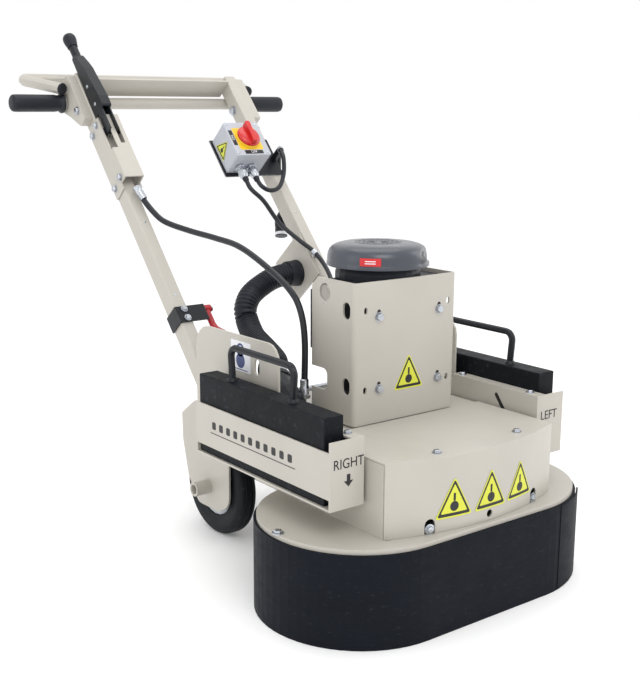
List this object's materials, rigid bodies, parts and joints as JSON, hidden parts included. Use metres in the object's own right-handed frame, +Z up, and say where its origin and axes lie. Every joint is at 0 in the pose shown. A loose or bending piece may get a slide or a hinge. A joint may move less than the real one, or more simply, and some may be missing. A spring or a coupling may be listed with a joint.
{
  "type": "concrete grinder",
  "caption": "Walk-behind concrete floor grinder: skirted deck over grinding discs, belt housing, upright motor, weight trays, rear wheels and folding handle.",
  "frame": {"origin": "middle of the machine's footprint, on the floor, at the centre of its overall box", "axes": "+Z up; +Y towards the operator; +X to the operator's left"},
  "size_m": [0.706, 1.2352, 1.011],
  "materials": {
    "deck_plate": "satin",
    "deck_skirt": "matt",
    "belt_housing": "satin",
    "belt_guard_cover": "satin",
    "dust_port": "matt",
    "drive_belt": "matt",
    "motor_bracket": "satin",
    "motor_body": "satin",
    "motor_fan_cover": "satin",
    "chassis_frame": "satin",
    "wheel_axle": "satin",
    "handle_pivot_rod": "satin",
    "spindle_housing_right": "matt",
    "spindle_housing_left": "matt",
    "axle_plate_right": "satin",
    "axle_plate_left": "satin",
    "pivot_plate_right": "satin",
    "pivot_plate_left": "satin",
    "tray_right": "satin",
    "tray_left": "satin",
    "vacuum_hose": "matt",
    "control_cable": "matt",
    "motor_lead": "matt",
    "motor_shaft": "satin",
    "motor_fan": "matt",
    "motor_pulley": "matt",
    "grinding_disc_right": "matt",
    "spindle_shaft_right": "satin",
    "spindle_pulley_right": "matt",
    "grinding_disc_left": "matt",
    "spindle_shaft_left": "satin",
    "spindle_pulley_left": "matt",
    "idler_arm": "satin",
    "idler_pulley": "satin",
    "wheel_tyre_right": "matt",
    "wheel_hub_right": "satin",
    "wheel_tyre_left": "matt",
    "wheel_hub_left": "satin",
    "weight_right": "satin",
    "weight_handle_right": "satin",
    "weight_left": "satin",
    "weight_handle_left": "satin",
    "handle_upright_right": "satin",
    "handle_upright_left": "satin",
    "handlebar": "satin",
    "grip_right": "matt",
    "grip_left": "matt",
    "rear_loop": "satin",
    "cross_brace": "satin",
    "handle_bracket_right": "satin",
    "handle_bracket_left": "satin",
    "lever_bracket": "satin",
    "switch_box": "satin",
    "latch_bracket": "satin",
    "power_cord": "matt",
    "power_plug": "matt",
    "lever_arm": "satin",
    "lever_knob": "matt",
    "switch_knob": "gloss",
    "latch_lever": "satin"
  },
  "bodies": {
    "machine": {"deck_plate": "deck_plate", "deck_skirt": "deck_skirt", "belt_housing": "belt_housing", "belt_guard_cover": "belt_guard_cover", "dust_port": "dust_port", "drive_belt": "drive_belt", "motor_bracket": "motor_bracket", "motor_body": "motor_body", "motor_fan_cover": "motor_fan_cover", "chassis_frame": "chassis_frame", "wheel_axle": "wheel_axle", "handle_pivot_rod": "handle_pivot_rod", "spindle_housing_right": "spindle_housing_right", "spindle_housing_left": "spindle_housing_left", "axle_plate_right": "axle_plate_right", "axle_plate_left": "axle_plate_left", "pivot_plate_right": "pivot_plate_right", "pivot_plate_left": "pivot_plate_left", "tray_right": "tray_right", "tray_left": "tray_left", "vacuum_hose": "vacuum_hose", "control_cable": "control_cable", "motor_lead": "motor_lead"},
    "motor_rotor": {"motor_shaft": "motor_shaft", "motor_fan": "motor_fan", "motor_pulley": "motor_pulley"},
    "right_disc": {"grinding_disc_right": "grinding_disc_right", "spindle_shaft_right": "spindle_shaft_right", "spindle_pulley_right": "spindle_pulley_right"},
    "left_disc": {"grinding_disc_left": "grinding_disc_left", "spindle_shaft_left": "spindle_shaft_left", "spindle_pulley_left": "spindle_pulley_left"},
    "tension_arm": {"idler_arm": "idler_arm"},
    "tension_pulley": {"idler_pulley": "idler_pulley"},
    "right_wheel": {"wheel_tyre_right": "wheel_tyre_right", "wheel_hub_right": "wheel_hub_right"},
    "left_wheel": {"wheel_tyre_left": "wheel_tyre_left", "wheel_hub_left": "wheel_hub_left"},
    "right_weight": {"weight_right": "weight_right", "weight_handle_right": "weight_handle_right"},
    "left_weight": {"weight_left": "weight_left", "weight_handle_left": "weight_handle_left"},
    "handle": {"handle_upright_right": "handle_upright_right", "handle_upright_left": "handle_upright_left", "handlebar": "handlebar", "grip_right": "grip_right", "grip_left": "grip_left", "rear_loop": "rear_loop", "cross_brace": "cross_brace", "handle_bracket_right": "handle_bracket_right", "handle_bracket_left": "handle_bracket_left", "lever_bracket": "lever_bracket", "switch_box": "switch_box", "latch_bracket": "latch_bracket", "power_cord": "power_cord", "power_plug": "power_plug"},
    "tension_lever": {"lever_arm": "lever_arm"},
    "adjuster_knob": {"lever_knob": "lever_knob"},
    "switch": {"switch_knob": "switch_knob"},
    "latch": {"latch_lever": "latch_lever"}
  },
  "joints": [
    {"name": "handle_fold", "type": "hinge", "parent": "machine", "child": "handle", "pos_m": [0, -0.06095, 0.285], "axis": [1, 0, 0], "range_deg": [0, 68], "deforming": ["vacuum_hose", "control_cable", "motor_lead"]},
    {"name": "tension_lever_hinge", "type": "hinge", "parent": "handle", "child": "tension_lever", "pos_m": [-0.1953, 0.35403, 0.79921], "axis": [1, 0, 0], "range_deg": [0, 60]},
    {"name": "adjuster_knob_turn", "type": "hinge", "parent": "tension_lever", "child": "adjuster_knob", "pos_m": [-0.1953, 0.51433, 0.97918], "axis": [0, 0.665, 0.7468], "continuous": true},
    {"name": "switch_turn", "type": "hinge", "parent": "handle", "child": "switch", "pos_m": [0.1, 0.26618, 0.78371], "axis": [0, -0.7468, 0.665], "range_deg": [0, 90]},
    {"name": "latch_lever_hinge", "type": "hinge", "parent": "handle", "child": "latch", "pos_m": [-0.136, 0.0704, 0.45057], "axis": [1, 0, 0], "range_deg": [0, 30]},
    {"name": "right_wheel_spin", "type": "hinge", "parent": "machine", "child": "right_wheel", "pos_m": [-0.1535, -0.00695, 0.1025], "axis": [1, 0, 0], "continuous": true},
    {"name": "left_wheel_spin", "type": "hinge", "parent": "machine", "child": "left_wheel", "pos_m": [0.1535, -0.00695, 0.1025], "axis": [1, 0, 0], "continuous": true},
    {"name": "right_disc_spin", "type": "hinge", "parent": "machine", "child": "right_disc", "pos_m": [-0.144, -0.43495, 0.171], "axis": [0, 0, 1], "continuous": true},
    {"name": "left_disc_spin", "type": "hinge", "parent": "machine", "child": "left_disc", "pos_m": [0.144, -0.43495, 0.171], "axis": [0, 0, 1], "continuous": true},
    {"name": "motor_spin", "type": "hinge", "parent": "machine", "child": "motor_rotor", "pos_m": [0.012, -0.29295, 0.3], "axis": [0, 0, 1], "continuous": true},
    {"name": "tension_arm_swing", "type": "hinge", "parent": "machine", "child": "tension_arm", "pos_m": [0.172, -0.48095, 0.171], "axis": [0, 0, -1], "range_deg": [0, 12]},
    {"name": "tension_pulley_spin", "type": "hinge", "parent": "tension_arm", "child": "tension_pulley", "pos_m": [0.15, -0.52495, 0.171], "axis": [0, 0, 1], "continuous": true},
    {"name": "right_weight_lift", "type": "slide", "parent": "machine", "child": "right_weight", "axis": [0, 0, 1], "range_m": [0, 0.16]},
    {"name": "left_weight_lift", "type": "slide", "parent": "machine", "child": "left_weight", "axis": [0, 0, 1], "range_m": [0, 0.16]}
  ],
  "couplings": [
    {"joint": "left_disc_spin", "follows": "right_disc_spin", "ratio": -1},
    {"joint": "motor_spin", "follows": "right_disc_spin", "ratio": 1.1176},
    {"joint": "tension_pulley_spin", "follows": "right_disc_spin", "ratio": 2.1111},
    {"joint": "tension_arm_swing", "follows": "tension_lever_hinge", "ratio": 0.2}
  ]
}
